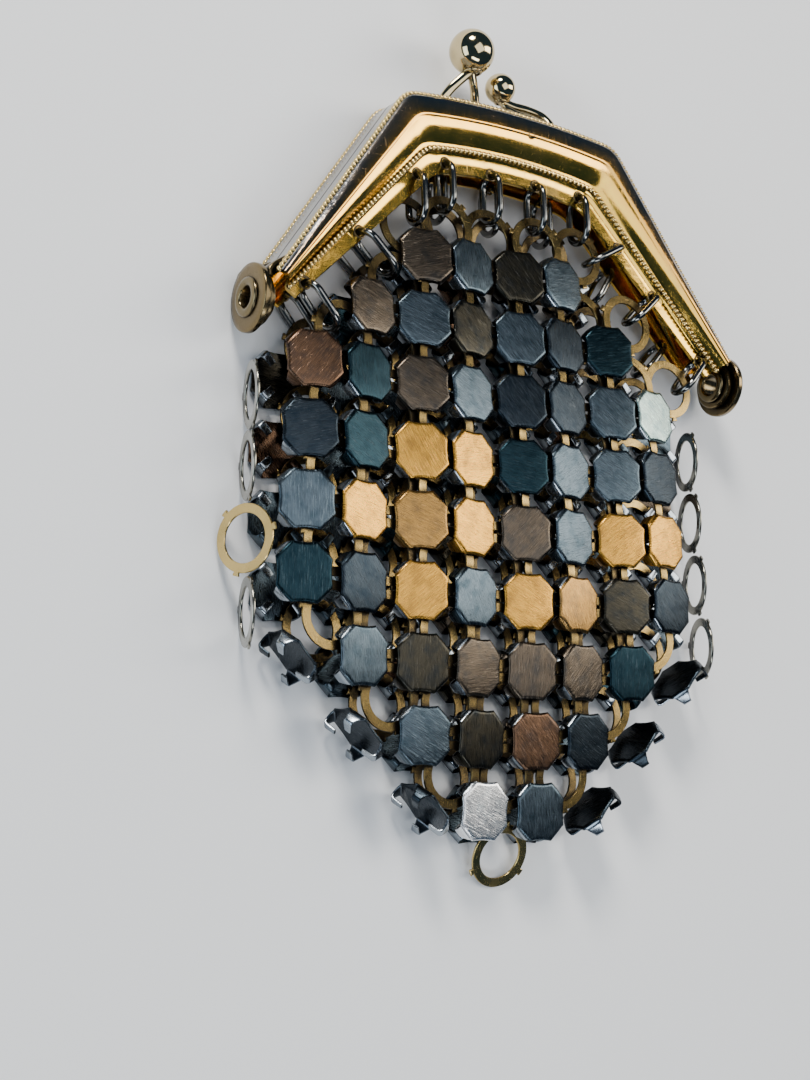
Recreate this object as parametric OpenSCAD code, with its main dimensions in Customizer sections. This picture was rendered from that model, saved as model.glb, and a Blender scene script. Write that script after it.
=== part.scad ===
// Small mail-mesh evening purse: pressed frame in two hinged halves, ball kiss lock,
// body of octagonal metal plates hooked on flat link rings. Millimetres, +Z up.
// Lying on its back: +Z comes out of the front face, +Y points to the clasp.
// Origin: on the resting plane, under the fifth row of the rear mail.

/* [Frame] */
// Distance between the outer edges of the frame legs at the ears
leg_span = 78; // [74:1:84]
// Width of the top bar between its outer corners
top_w = 37; // [33:1:41]
// Height from the hinge line to the outer edge of the top bar at its corners
frame_h = 32; // [30:1:36]
// Rise of the arched top bar at its middle
arch = 1.2; // [0.4:0.2:2.4]
// Width of the moulding at the top bar, outer edge to inner edge
face_w = 7; // [6:0.5:8]
// Height of the moulding's crest over the parting plane at the top bar
crest_top = 4.1; // [3.6:0.1:4.6]
// Height of the moulding's crest over the parting plane at the ears
crest_ear = 4.8; // [4.2:0.1:4.9]
// Wall of the pressed sheet
sheet_t = 0.8; // [0.6:0.1:1]

/* [Hinge] */
// Outer radius of the round ear on the rear half
ear_r = 4.5; // [4.2:0.1:4.6]
// Radius of the hollow rivet's bore
eyelet_bore_r = 1.4; // [1:0.1:1.5]
// Radius of the hollow rivet's shank
eyelet_r = 2; // [1.9:0.1:2.1]
// Radial running clearance of the front ear on the rivet
run_gap = 0.05; // [0.03:0.01:0.1]

/* [Kiss lock] */
// Radius of the large ball, on the rear half
big_ball_r = 3.25; // [2.8:0.05:3.3]
// Radius of the small ball, on the front half
small_ball_r = 2.2; // [1.8:0.1:2.4]
// Radius of the bent posts that carry the balls
post_r = 0.7; // [0.5:0.1:0.8]

/* [Mail] */
// Width of one plate across its flats
plate_w = 7.7; // [7.3:0.1:7.7]
// Thickness of the plate sheet
plate_t = 0.45; // [0.35:0.05:0.5]
// Row spacing of the plates
row_pitch = 9.2; // [9.1:0.1:9.3]
// Column spacing of the front plates in the top row
front_pitch_top = 7.9; // [7.9:0.1:8.2]
// Column spacing of the front plates in the bottom row
front_pitch_low = 9.2; // [9.1:0.1:9.3]
// Column spacing of the rear plates
rear_pitch = 9.3; // [9.2:0.1:9.4]
// Alternate turn of neighbouring front plates in the gathered rows, degrees
pleat = 10; // [8:0.5:11]
// Outer radius of a link ring
link_ro = 4.4; // [4.3:0.05:4.4]
// Inner radius of a link ring
link_ri = 3.15; // [3.1:0.05:3.2]
// Thickness of a link ring
link_t = 0.35; // [0.3:0.05:0.4]

/* [Hidden] */
zc = 5;                                  // parting plane and hinge axis over the rest
row_a_y = 9.5;                           // top row, from the hinge line
hy = 4 * row_pitch - row_a_y;            // hinge line in the part's own frame
cut = 1.6;                               // corner cut of a plate
hook_r = (plate_w / 2) * sqrt(2) - cut / sqrt(2);   // corner face of a plate
hook_gap = 1.5;                          // room for the rings between plate and prong
hook_t = 0.4;                            // prong sheet
hook_w = 1;                              // prong width
hook_end = 2.25;                         // prong tip, from the plate's centre
link_drop = 1.22;                        // ring centre under the plate's top face
nub_at = [42, 162, 282];                 // directions of the three nubs on a link ring
nub_w = 0.9;                             // width of a nub
nub_h = 0.45;                            // its height over the rim
jump_r = 0.45;                           // wire of the oval jump rings
jump_e = 1.9;                            // radius of their ends
jump_l = 3.06;                           // length of their straight sides
jump_d = 1.9;                            // distance of the top ones from the parting plane
leg_d = 2.34;                            // distance of the leg ones from it
hole_y = 23.75;                          // row of ring holes in the top flange
hole_r = 0.8;                            // radius of a ring hole
// first and last column of each row of plates, top row first
cols = [[3, 6], [2, 7], [1, 8], [1, 8], [1, 8], [1, 8], [2, 7], [3, 6], [4, 5]];
gold = [0.78, 0.62, 0.28];
steel = [0.45, 0.47, 0.5];
plate_c = [0.5, 0.5, 0.5];

// ---------- frame halves ----------
function mix(a, b, t) = a + (b - a) * t;
// keys: outer edge, inner edge of the moulding, edge of the flange, crest height
function o_pt(k, t) = k == 0
    ? [t * top_w / 2, frame_h + arch * (1 - t * t)]
    : mix([top_w / 2, frame_h], [leg_span / 2, 3], t);
function i_pt(k, t) = k == 0
    ? [t * (top_w / 2 - 0.55 * face_w), frame_h - face_w + arch * (1 - t * t)]
    : mix([top_w / 2 - 0.55 * face_w, frame_h - face_w], [leg_span / 2 - 2, 1.2], t);
function f_pt(k, t) = k == 0
    ? [t * (top_w / 2 - 0.8 * face_w), frame_h - face_w - 3 + arch * (1 - t * t)]
    : mix([top_w / 2 - 0.8 * face_w, frame_h - face_w - 3], [leg_span / 2 - 3.4, 0.3], t);
function crest(k, t) = k == 0 ? crest_top : mix(crest_top, crest_ear, t);
function sec(O, I, F, H) = let(
    w = norm(I - O), e = (I - O) / w, g = (F - I) / norm(F - I), f = norm(F - I),
    k = min(1, w / 5), t = sheet_t,
    p = function(s, z) let(q = s <= w ? O + e * s : I + g * (s - w)) [q[0], q[1], z])
    [p(0, 0.15), p(0, 0.62 * H), p(-0.35 * k, 0.7 * H), p(-0.38 * k, 0.84 * H),
     p(0.2 * k, 0.93 * H), p(0.7 * k, 0.87 * H), p(0.24 * w, 0.95 * H),
     p(0.4 * w, H), p(0.56 * w, 0.96 * H), p(0.72 * w, 0.83 * H),
     p(0.86 * w, 0.66 * H), p(w - 0.25 * k, 0.68 * H), p(w + 0.25 * k, 0.67 * H),
     p(w + 0.45 * k, 0.52 * H), p(w + f, 0.52 * H), p(w + f, 0.52 * H - t),
     p(w, 0.52 * H - t), p(0.84 * w, 0.6 * H - t), p(0.7 * w, 0.78 * H - t),
     p(0.4 * w, 0.95 * H - t), p(0.9 * k, 0.84 * H - t), p(0.9 * k, 0.15)];
nb = 9;
nl = 10;
right_side = concat([for (j = [0:nb - 1]) [0, j / nb]], [for (j = [0:nl]) [1, j / nl]]);
function flip(l) = [for (p = l) [-p[0], p[1], p[2]]];
half_secs = [for (s = right_side)
    sec(o_pt(s[0], s[1]), i_pt(s[0], s[1]), f_pt(s[0], s[1]), crest(s[0], s[1]))];
nr = len(half_secs);
secs = concat([for (j = [nr - 1:-1:1]) flip(half_secs[j])], half_secs);
module moulding() {
    n = len(secs);
    m = len(secs[0]);
    polyhedron(
        points = [for (s = secs) for (p = s) p],
        faces = concat(
            [for (i = [0:n - 2]) for (j = [0:m - 1])
                [i * m + j, (i + 1) * m + j, (i + 1) * m + (j + 1) % m]],
            [for (i = [0:n - 2]) for (j = [0:m - 1])
                [i * m + j, (i + 1) * m + (j + 1) % m, i * m + (j + 1) % m]],
            [[for (j = [0:m - 1]) j]],
            [[for (j = [m - 1:-1:0]) (n - 1) * m + j]]),
        convexity = 8);
}
function f_top(c) = -3.4 + (c - 4) * front_pitch_top;
top_holes = concat([[-16.1, 21.2]], [for (c = [3:6]) [f_top(c), hole_y]]);
rear_top_holes = [for (j = [-1:1]) [j * rear_pitch - 0.7, hole_y]];
function leg_hole(s, t) = let(a = i_pt(1, t), b = f_pt(1, t), q = mix(a, b, 0.62))
    [s * q[0], q[1]];
// side, place along the leg, turn of each leg ring
front_leg = [[-1, 0.54, 46], [1, 0.26, 60], [1, 0.54, 46]];
rear_leg = [[-1, 0.54, 46], [-1, 0.93, 38], [1, 0.34, 32], [1, 0.78, 42]];
ear_leg = [[-1, 0.92, 39], [1, 0.92, 39]];
module hole(x, y, z) translate([x, y, z]) cylinder(r = hole_r, h = 6, center = true, $fn = 32);
module half_frame(top, legs) {
    difference() {
        moulding();
        for (h = top) hole(h[0], h[1], 1.6);
        for (g = legs) let(q = leg_hole(g[0], g[1])) hole(q[0], q[1], 1.6);
    }
}
module across(x0, x1, r) translate([x0, 0, 0]) rotate([0, 90, 0])
    cylinder(r = r, h = x1 - x0, $fn = 64);
ear_x = leg_span / 2;
module place_frame() translate([0, hy, zc]) children();
module rear_frame() color(gold) place_frame() {
    mirror([0, 0, 1]) half_frame(rear_top_holes, rear_leg);
    for (s = [0, 1]) mirror([s, 0, 0]) difference() {
        union() {
            across(ear_x + 1.4, ear_x + 2.4, ear_r);
            translate([ear_x - 0.8, 3.75, -3.2]) cube([3.2, 1.4, 2.6]);
        }
        across(ear_x, ear_x + 4, eyelet_r + 0.02);
    }
}
module front_frame() color(gold) place_frame() {
    half_frame(top_holes, concat(front_leg, ear_leg));
    for (s = [0, 1]) mirror([s, 0, 0]) difference() {
        union() {
            across(ear_x + 0.25, ear_x + 1.15, 3.4);
            translate([ear_x - 0.76, 3.11, 1.27]) cube([1.66, 1.3, 1.33]);
        }
        across(ear_x - 1, ear_x + 2, eyelet_r + run_gap);
    }
}
module eyelet(s) color(gold) place_frame() mirror([s, 0, 0]) difference() {
    union() {
        across(ear_x - 0.45, ear_x + 2.9, eyelet_r);
        across(ear_x - 0.45, ear_x - 0.05, eyelet_r + 0.6);
        across(ear_x + 2.45, ear_x + 2.9, eyelet_r + 0.6);
    }
    across(ear_x - 1, ear_x + 3.5, eyelet_bore_r);
}
module left_eyelet() eyelet(1);
module right_eyelet() eyelet(0);

// ---------- kiss lock ----------
big_c = [-5.2, 42.2, 0.9];
small_c = [1.1, 38.9, -0.9];
foot_y = frame_h + arch + 0.3;
// a flat bent strap standing on the frame, its outline in its own tilted plane
module strap(base, tilt) translate(base) rotate([tilt, 0, 0])
    linear_extrude(2 * post_r, center = true) children();
module socket(c, r) translate([c[0] - 0.9, c[1] - r - 1, c[2] - 1.3]) cube([1.8, 1.6, 2.6]);
module rear_clasp_post() color(gold) place_frame() strap([big_c[0], foot_y, -1.7], 24.3)
    polygon([[-4.8, -0.2], [-3.4, -0.2], [-3.3, 1.8], [-2.2, 3.4], [-1, 3.9], [0.2, 3.4],
        [0.9, 1.8], [1, 0], [2.4, 0], [2.3, 2.2], [1.3, 4.4], [0.7, 5.2], [0.7, 6.1],
        [-0.7, 6.1], [-0.7, 5.5], [-2.9, 4.8], [-4.6, 2.4]]);
module rear_clasp_ball() color(gold) place_frame() difference() {
    translate(big_c) sphere(r = big_ball_r, $fn = 64);
    socket(big_c, big_ball_r);
}
module front_clasp_post() color(gold) place_frame() strap([small_c[0], foot_y, 1.9], -37.9)
    polygon([[6.1, -0.1], [7.5, -0.1], [7.3, 1.6], [5.6, 3.2], [2.6, 3.6], [0.6, 3.9],
        [0.6, 4.2], [-0.6, 4.2], [-0.6, 3.3], [0.2, 2.5], [3.2, 2.2], [5.2, 1.7], [6, 0.9]]);
module front_clasp_ball() color(gold) place_frame() difference() {
    translate(small_c) sphere(r = small_ball_r, $fn = 64);
    socket(small_c, small_ball_r);
}

// ---------- jump rings ----------
module half_ring() rotate_extrude(angle = 180, $fn = 48) translate([jump_e, 0])
    circle(r = jump_r, $fn = 20);
// an oval ring whose upper end passes through the hole at p, turned about the hole
module jump(p, z, turn) translate([p[0], p[1], z]) rotate([0, 0, turn])
    translate([0, -jump_e - jump_l / 2, 0]) rotate([0, 90, 0]) union() {
        translate([0, jump_l / 2, 0]) half_ring();
        translate([0, -jump_l / 2, 0]) rotate([0, 0, 180]) half_ring();
        for (x = [-jump_e, jump_e]) translate([x, 0, 0]) rotate([90, 0, 0])
            cylinder(r = jump_r, h = jump_l + 0.02, center = true, $fn = 20);
    }
module leg_jump(g, z) jump(leg_hole(g[0], g[1]), z, -g[0] * g[2]);
module front_jump_rings_top() color(steel) place_frame()
    for (h = top_holes) jump(h, jump_d, 0);
module front_jump_rings_legs() color(steel) place_frame()
    for (g = front_leg) leg_jump(g, leg_d);
module front_jump_rings_ears() color(steel) place_frame()
    for (g = ear_leg) leg_jump(g, leg_d);
module rear_jump_rings_top() color(steel) place_frame()
    for (h = rear_top_holes) jump(h, -jump_d, 0);
module rear_jump_rings_legs() color(steel) place_frame()
    for (g = rear_leg) leg_jump(g, -leg_d - 0.12);

// ---------- mail ----------
module octagon(w, c) polygon([[w - c, w], [c - w, w], [-w, w - c], [-w, c - w],
    [c - w, -w], [w - c, -w], [w, c - w], [w, w - c]]);
module plate() {
    w = plate_w / 2;
    translate([0, 0, -plate_t]) linear_extrude(plate_t) octagon(w, cut);
    low = -plate_t - hook_gap - hook_t;
    for (a = [45:90:315]) rotate([0, 0, a]) {
        translate([hook_r - hook_t, -hook_w / 2, low]) cube([hook_t, hook_w, -low - 0.25]);
        translate([hook_end, -hook_w / 2, low]) cube([hook_r - hook_end, hook_w, hook_t]);
    }
}
module link() translate([0, 0, -link_t / 2]) linear_extrude(link_t) difference() {
    union() {
        circle(r = link_ro, $fn = 64);
        for (a = nub_at) rotate(a) translate([link_ro - 0.3, -nub_w / 2])
            square([0.3 + nub_h, nub_w]);
    }
    circle(r = link_ri, $fn = 64);
}
// front mail: centre line, spacing, height and turn of row r, column c
function f_mid(r) = -3.4 - 2.4 * sin(180 * r / 8) + 0.1 * r;
function f_p(r) = front_pitch_top + (front_pitch_low - front_pitch_top) * r / 8;
function f_x(r, c) = f_mid(r) + (c - 4.5) * f_p(r);
function f_y(r, c) = (4 - r) * row_pitch + 0.1 * (c - 4.5) * (c - 4.5);
function crown(c) = 0.3 * pow(abs(c - 4.5) / 3.5, 3);
function f_z(r, c) = 7.9 + 2.2 * sin(180 * r / 8) - 0.16 * r - crown(c) * min(1, r / 2);
function zz(r) = pleat * max(0.2, min(1, (9 - r) / 5));
function f_turn(r, c) = (c % 2 == 0 ? 1 : -1) * zz(r);
function f_lean(r) = -atan((f_z(r + 0.5, 4) - f_z(r - 0.5, 4)) / row_pitch);
// height of a front plate's top face at an offset from its centre
function f_at(r, c, dx, dy) = f_z(r, c) - dx * tan(f_turn(r, c)) + dy * tan(f_lean(r));
function has(r, c) = r >= 0 && r <= 8 && c >= cols[r][0] && c <= cols[r][1];
function avg(l) = len(l) == 0 ? 0 : l * [for (i = l) 1] / len(l);
// ring at the corner below row r, right of column c: the plates that hook on it
function near(r, c) = [for (q = [[r, c, 1, -1], [r, c + 1, -1, -1],
    [r + 1, c, 1, 1], [r + 1, c + 1, -1, 1]]) if (has(q[0], q[1])) q];
function link_x(r, c) = let(a = r < 0 ? 0 : r, b = r > 7 ? 8 : r + 1)
    (f_x(a, c + 0.5) + f_x(b, c + 0.5)) / 2;
function link_y(r, c) = (f_y(r, c + 0.5) + f_y(r + 1, c + 0.5)) / 2;
module front_plate(r, c) translate([f_x(r, c), f_y(r, c), f_z(r, c)])
    rotate([f_lean(r), f_turn(r, c), 0]) plate();
module front_row(r) color(plate_c) for (c = [cols[r][0]:cols[r][1]]) front_plate(r, c);
module front_link(r, c) {
    z = avg([for (q = near(r, c)) f_at(q[0], q[1], q[2] * 2.3, q[3] * 2.6)]);
    l = (f_lean(max(r, 0)) + f_lean(min(r + 1, 8))) / 2;
    // the top row is drawn up by its jump rings, its first ring towards the corner
    up = r < 0 ? (c == 2 ? -0.6 : 0.56) : 0;
    over = r < 0 && c == 2 ? 1.85 : 0;
    translate([link_x(r, c) + over, link_y(r, c) + up, z - link_drop]) rotate([l, 0, 0])
        link();
}
module front_links(r, c0, c1) color(gold) for (c = [c0:c1]) front_link(r, c);
// rear mail: flat on the rest, gathered up to the frame in its first three rows
function r_mid(r) = -0.7 - 1.8 * sin(180 * r / 8);
function r_x(r, c) = r_mid(r) + (c - 4.5) * rear_pitch;
function r_z(r) = r < 3 ? 0.18 * (3 - r) * (3 - r) : 0;
function r_lean(r) = r < 3 ? -atan(0.36 * (3 - r) / row_pitch) : 0;
module rear_plate(r, c) translate([r_x(r, c), (4 - r) * row_pitch, r_z(r)])
    rotate([-r_lean(r), 0, 0]) mirror([0, 0, 1]) plate();
module rear_row(r) color(plate_c) for (c = [cols[r][0]:cols[r][1]]) rear_plate(r, c);
module rear_link(r, c) {
    a = max(r, 0);
    b = min(r + 1, 8);
    up = r < 0 ? 0.44 : 0;
    x = (r_x(a, c + 0.5) + r_x(b, c + 0.5)) / 2;
    z = r_z(r + 0.5) + link_drop;
    translate([x, (3.5 - r) * row_pitch + up, z])
        rotate([-r_lean(r + 0.5), 0, 0]) mirror([0, 0, 1]) link();
}
module rear_links(r, c0, c1) color(gold) for (c = [c0:c1]) rear_link(r, c);

module front_plates_a() front_row(0);
module front_plates_b() front_row(1);
module front_plates_c() front_row(2);
module front_plates_d() front_row(3);
module front_plates_e() front_row(4);
module front_plates_f() front_row(5);
module front_plates_g() front_row(6);
module front_plates_h() front_row(7);
module front_plates_i() front_row(8);
module rear_plates_a() rear_row(0);
module rear_plates_b() rear_row(1);
module rear_plates_c() rear_row(2);
module rear_plates_d() rear_row(3);
module rear_plates_e() rear_row(4);
module rear_plates_f() rear_row(5);
module rear_plates_g() rear_row(6);
module rear_plates_h() rear_row(7);
module rear_plates_i() rear_row(8);
module front_links_top() front_links(-1, 2, 6);
module front_links_ab() front_links(0, 2, 7);
module front_links_bc() front_links(1, 1, 8);
module front_links_cd() front_links(2, 1, 7);
module front_links_de() front_links(3, 1, 7);
module front_links_ef() front_links(4, 1, 7);
module front_links_fg() front_links(5, 1, 7);
module front_links_gh() front_links(6, 2, 6);
module front_links_hi() front_links(7, 3, 5);
module rear_links_top() rear_links(-1, 3, 5);
module rear_links_ab() rear_links(0, 2, 6);
module rear_links_bc() rear_links(1, 1, 7);
module rear_links_cd() rear_links(2, 1, 7);
module rear_links_de() rear_links(3, 1, 7);
module rear_links_ef() rear_links(4, 1, 7);
module rear_links_fg() rear_links(5, 1, 7);
module rear_links_gh() rear_links(6, 2, 6);
module rear_links_hi() rear_links(7, 3, 5);

// ---------- sides ----------
// rings that stand on edge and join the front mail to the rear mail
side_rows = [2, 3, 4, 5];
function side_x(r, s) = s * 0.5 * (abs(link_x(r, s < 0 ? 0 : 8))
    + abs((r_x(r, s < 0 ? 0.5 : 8.5) + r_x(r + 1, s < 0 ? 0.5 : 8.5)) / 2))
    + s * (s < 0 && r != 4 ? 1.8 : 1.9);
// most of the left rings lie turned along the bag's edge, one stands out from it
function side_turn(r, s) = s < 0 && r != 4 ? 62 : s * 68;
module side_link(r, s) translate([side_x(r, s), link_y(r, s < 0 ? 0 : 8) - 0.6, 4.55])
    rotate([0, side_turn(r, s), 0]) rotate([0, 0, 90]) link();
module side_links_left() color(gold) for (r = side_rows) side_link(r, -1);
module side_links_right() color(gold) for (r = side_rows) side_link(r, 1);
// plates that stand on edge along the two slanted lower sides
side_out = 7.9;                          // their distance out from the last plate of the row
side_up = 0.9;                           // and up from its centre line
module side_plate(r, s) {
    c = s < 0 ? cols[r][0] : cols[r][1];
    x = s * (max(s * f_x(r, c), s * r_x(r, c)) + side_out);
    translate([x, (4 - r) * row_pitch + side_up, 4.4]) rotate([0, 0, s * -41])
        rotate([0, s * -86, 0]) plate();
}
module side_plates_left() color(plate_c) for (r = [6, 7, 8]) side_plate(r, -1);
module side_plates_right() color(plate_c) for (r = [6, 7, 8]) side_plate(r, 1);
module bottom_link() color(gold)
    translate([(link_x(8, 4) + r_x(8, 4.5)) / 2, -4.5 * row_pitch - 0.9, 1.9])
        rotate([23, 0, 0]) rotate([0, 0, 48]) link();

rear_frame();
front_frame();
left_eyelet();
right_eyelet();
rear_clasp_post();
rear_clasp_ball();
front_clasp_post();
front_clasp_ball();
front_jump_rings_top();
front_jump_rings_legs();
front_jump_rings_ears();
rear_jump_rings_top();
rear_jump_rings_legs();
front_plates_a();
front_plates_b();
front_plates_c();
front_plates_d();
front_plates_e();
front_plates_f();
front_plates_g();
front_plates_h();
front_plates_i();
rear_plates_a();
rear_plates_b();
rear_plates_c();
rear_plates_d();
rear_plates_e();
rear_plates_f();
rear_plates_g();
rear_plates_h();
rear_plates_i();
front_links_top();
front_links_ab();
front_links_bc();
front_links_cd();
front_links_de();
front_links_ef();
front_links_fg();
front_links_gh();
front_links_hi();
rear_links_top();
rear_links_ab();
rear_links_bc();
rear_links_cd();
rear_links_de();
rear_links_ef();
rear_links_fg();
rear_links_gh();
rear_links_hi();
side_links_left();
side_links_right();
side_plates_left();
side_plates_right();
bottom_link();
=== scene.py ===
"""Looks of a small metal-mail evening purse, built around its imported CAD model.

Lengths inside the builders are millimetres; every mesh is scaled to metres when it is made.
The purse lies on its back: +X right, +Y towards the clasp, +Z out of its front.
"""
import math
import random

import bpy
import numpy as np
from mathutils import Matrix, Vector

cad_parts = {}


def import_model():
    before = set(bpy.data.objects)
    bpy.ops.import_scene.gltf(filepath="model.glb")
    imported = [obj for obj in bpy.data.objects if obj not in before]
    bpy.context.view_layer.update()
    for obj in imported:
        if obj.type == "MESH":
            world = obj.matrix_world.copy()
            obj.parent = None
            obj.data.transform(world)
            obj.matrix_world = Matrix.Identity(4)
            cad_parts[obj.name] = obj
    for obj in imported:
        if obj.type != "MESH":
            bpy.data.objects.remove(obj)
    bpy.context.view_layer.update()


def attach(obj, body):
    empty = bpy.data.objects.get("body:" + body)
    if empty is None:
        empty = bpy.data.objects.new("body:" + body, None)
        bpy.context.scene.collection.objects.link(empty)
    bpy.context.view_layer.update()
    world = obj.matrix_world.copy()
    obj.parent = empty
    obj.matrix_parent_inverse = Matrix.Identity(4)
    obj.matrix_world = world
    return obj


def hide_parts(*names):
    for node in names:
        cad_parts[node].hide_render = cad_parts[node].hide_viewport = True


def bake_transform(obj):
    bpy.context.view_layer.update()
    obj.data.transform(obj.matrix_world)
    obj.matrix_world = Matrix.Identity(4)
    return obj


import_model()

MM = 0.001
TAU = 2 * math.pi

# ---------------------------------------------------------------- sizes of the object, mm
LEG_SPAN, TOP_W, FRAME_H, ARCH, FACE_W = 78.0, 37.0, 32.0, 1.2, 7.0
CREST_TOP, CREST_EAR = 4.1, 4.8  # height of the moulding's crest over the parting plane
EAR_X = LEG_SPAN / 2
PITCH = 9.2                      # row spacing of the mail
HINGE_Y = 4 * PITCH - 9.5
MID_Z = 5.0                      # parting plane
EYELET_BORE, EYELET_R, FLANGE_R = 1.4, 2.0, 2.6
PLATE_W, PLATE_T, CUT = 7.7, 0.45, 1.6
HOOK_R = PLATE_W / 2 * math.sqrt(2) - CUT / math.sqrt(2)
HOOK_GAP, HOOK_T = 1.5, 0.4
HOOK_END = 2.3                   # prong tip, from the plate's centre
FLAT_CUT = 2.05                  # corners of the plate's flat, where the prongs start to bend
LINK_RO, LINK_RI, LINK_T, LINK_DROP = 4.4, 3.15, 0.35, 1.22
NUB_AT = (42, 162, 282)          # directions of the nubs on a link ring
FRONT_PITCH_TOP, FRONT_PITCH_LOW, REAR_PITCH = 7.9, 9.2, 9.3
FRONT_TOP_MID, REAR_TOP_MID = -3.4, -0.7   # centre lines of the top rows
PLEAT = 10                       # alternate turn of the front plates, degrees
COLS = [(3, 6), (2, 7), (1, 8), (1, 8), (1, 8), (1, 8), (2, 7), (3, 6), (4, 5)]
ROWS = "abcdefghi"


# ---------------------------------------------------------------- transforms
def rot(axis, degrees):
    a = math.radians(degrees)
    c, s = math.cos(a), math.sin(a)
    m = np.eye(4)
    i, j = {"x": (1, 2), "y": (2, 0), "z": (0, 1)}[axis]
    m[i, i] = m[j, j] = c
    m[i, j], m[j, i] = -s, s
    return m


def move(x, y, z):
    m = np.eye(4)
    m[:3, 3] = (x, y, z)
    return m


FLIP_Z = np.diag([1.0, 1.0, -1.0, 1.0])
FLIP_X = np.diag([-1.0, 1.0, 1.0, 1.0])
AT_HINGE = move(0, HINGE_Y, MID_Z)


# ---------------------------------------------------------------- mesh building
SHARP = 40                       # edges bent by more than this stay crisp, degrees
UV_SCALE = 0.1                   # texture units to a millimetre


class Piece:
    """Collects parts of one mesh, each with its material number and texture place."""

    def __init__(self):
        self.verts, self.faces, self.mats, self.uvs, self.count = [], [], [], [], 0

    def add(self, verts, faces, mat=0, matrix=None, uv=None):
        v = np.asarray(verts, float)
        if uv is None:
            uv = v[:, :2] * UV_SCALE
        if matrix is not None:
            v = v @ matrix[:3, :3].T + matrix[:3, 3]
            if np.linalg.det(matrix[:3, :3]) < 0:
                faces = [tuple(reversed(f)) for f in faces]
        self.verts.append(v)
        self.uvs.append(np.asarray(uv, float))
        self.faces += [tuple(i + self.count for i in f) for f in faces]
        self.mats += [mat] * len(faces)
        self.count += len(v)

    def make(self, name, materials):
        mesh = bpy.data.meshes.new(name)
        v = np.concatenate(self.verts) * MM
        mesh.from_pydata(v.tolist(), [], self.faces)
        mesh.polygons.foreach_set("material_index", self.mats)
        mesh.polygons.foreach_set("use_smooth", [True] * len(self.faces))
        layer = mesh.uv_layers.new(name="brush")
        uv = np.concatenate(self.uvs)
        loops = np.zeros(len(mesh.loops), int)
        mesh.loops.foreach_get("vertex_index", loops)
        layer.data.foreach_set("uv", uv[loops].ravel())
        mesh.validate()
        mesh.set_sharp_from_angle(angle=math.radians(SHARP))
        for m in materials:
            mesh.materials.append(m)
        obj = bpy.data.objects.new(name, mesh)
        bpy.context.scene.collection.objects.link(obj)
        return obj


def strip_faces(rows, n, loop=False):
    """Quads between successive rings of n points, with end caps unless the rings loop."""
    faces = []
    last = rows if loop else rows - 1
    for i in range(last):
        a, b = i * n, (i + 1) % rows * n
        for j in range(n):
            k = (j + 1) % n
            faces.append((a + j, a + k, b + k, b + j))
    if not loop:
        faces.append(tuple(reversed(range(n))))
        faces.append(tuple(range((rows - 1) * n, rows * n)))
    return faces


def sweep(path, section, side, loop=False, scales=None):
    """A section of (across, out) points carried along a path; side(tangent) gives 'out'."""
    path = np.asarray(path, float)
    n = len(path)
    verts = []
    for i in range(n):
        if loop:
            t = path[(i + 1) % n] - path[i - 1]
        else:
            t = path[min(i + 1, n - 1)] - path[max(i - 1, 0)]
        t = t / np.linalg.norm(t)
        out = np.asarray(side(t), float)
        out = out - t * out.dot(t)
        out /= np.linalg.norm(out)
        across = np.cross(out, t)
        k = (1.0, 1.0) if scales is None else scales[i]
        for a, o in section:
            verts.append(path[i] + across * a * k[0] + out * o * k[1])
    return verts, strip_faces(n, len(section), loop=loop)


def circle(r, n):
    return [(r * math.cos(TAU * k / n), r * math.sin(TAU * k / n)) for k in range(n)]


def soft_box(w, t, n=3, power=4.0):
    """Section of a flat band w wide and t thick with rounded corners."""
    pts = []
    for k in range(8 * n):
        a = TAU * k / (8 * n)
        c, s = math.cos(a), math.sin(a)
        pts.append((math.copysign(abs(c) ** (2 / power), c) * w / 2,
                    math.copysign(abs(s) ** (2 / power), s) * t / 2))
    return pts


def lathe(profile, n=64, axis="z"):
    """A closed profile of (radius, height) turned about an axis."""
    verts = []
    for k in range(n):
        c, s = math.cos(TAU * k / n), math.sin(TAU * k / n)
        for r, h in profile:
            verts.append((r * c, r * s, h) if axis == "z" else (h, r * c, r * s))
    return verts, strip_faces(n, len(profile), loop=True)


def smooth_curve(points, per=8):
    """Catmull-Rom curve through the points."""
    p = [np.asarray(q, float) for q in points]
    p = [2 * p[0] - p[1]] + p + [2 * p[-1] - p[-2]]
    out = []
    for i in range(1, len(p) - 2):
        for k in range(per):
            t = k / per
            out.append(0.5 * (2 * p[i] + (p[i + 1] - p[i - 1]) * t
                              + (2 * p[i - 1] - 5 * p[i] + 4 * p[i + 1] - p[i + 2]) * t ** 2
                              + (3 * p[i] - p[i - 1] - 3 * p[i + 1] + p[i + 2]) * t ** 3))
    return np.array(out + [p[-2]])


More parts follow.
